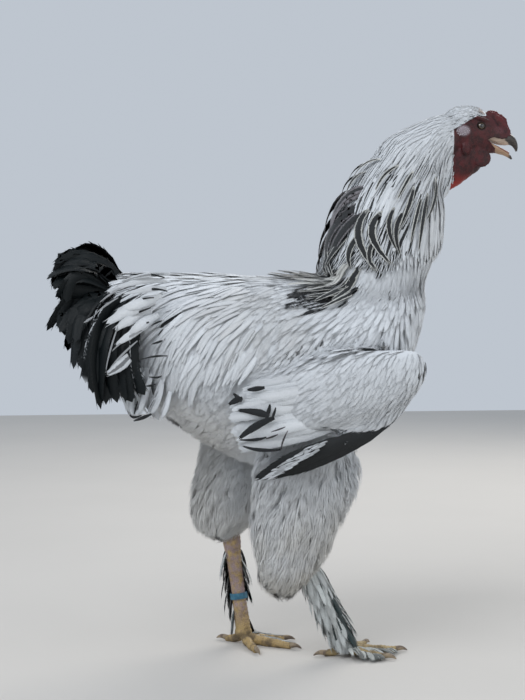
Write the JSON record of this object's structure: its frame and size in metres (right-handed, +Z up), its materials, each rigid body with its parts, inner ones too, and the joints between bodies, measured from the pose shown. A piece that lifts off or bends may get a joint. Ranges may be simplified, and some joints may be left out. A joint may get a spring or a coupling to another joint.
{
  "type": "brahma chicken",
  "caption": "Still life-size model of a standing white and black feathered brahma cock with feathered feet, a small pea comb and an open beak.",
  "frame": {"origin": "on the ground under the middle of the bird's outline", "axes": "+Z up, +X towards the beak, +Y to the bird's left"},
  "size_m": [0.5942, 0.3052, 0.6977],
  "materials": {
    "white_feather": "soft white feathers, the hackle striped black",
    "black_feather": "black feathers with a green sheen",
    "red_skin": "wrinkled red skin",
    "leg_skin": "yellow scales",
    "horn": "dull horn, dark along the ridge of the beak",
    "eye": "wet and clear",
    "band": "blue plastic"
  },
  "bodies": {
    "root": {"torso": "white_feather", "rump": "white_feather", "neck": "white_feather", "wing_r": "white_feather", "wing_l": "white_feather", "thigh_r": "white_feather", "thigh_l": "white_feather", "primaries_r": "black_feather", "primaries_l": "black_feather", "tail": "black_feather", "head": "red_skin", "comb": "red_skin", "tongue": "red_skin", "wattle_r": "red_skin", "wattle_l": "red_skin", "earlobe_r": "red_skin", "earlobe_l": "red_skin", "eye_r": "eye", "eye_l": "eye", "beak_upper": "horn", "beak_lower": "horn", "claw_middle_r": "horn", "claw_inner_r": "horn", "claw_outer_r": "horn", "claw_hind_r": "horn", "claw_middle_l": "horn", "claw_inner_l": "horn", "claw_outer_l": "horn", "claw_hind_l": "horn", "shank_r": "leg_skin", "shank_l": "leg_skin", "foot_r": "leg_skin", "foot_l": "leg_skin", "leg_band": "band"}
  },
  "joints": []
}
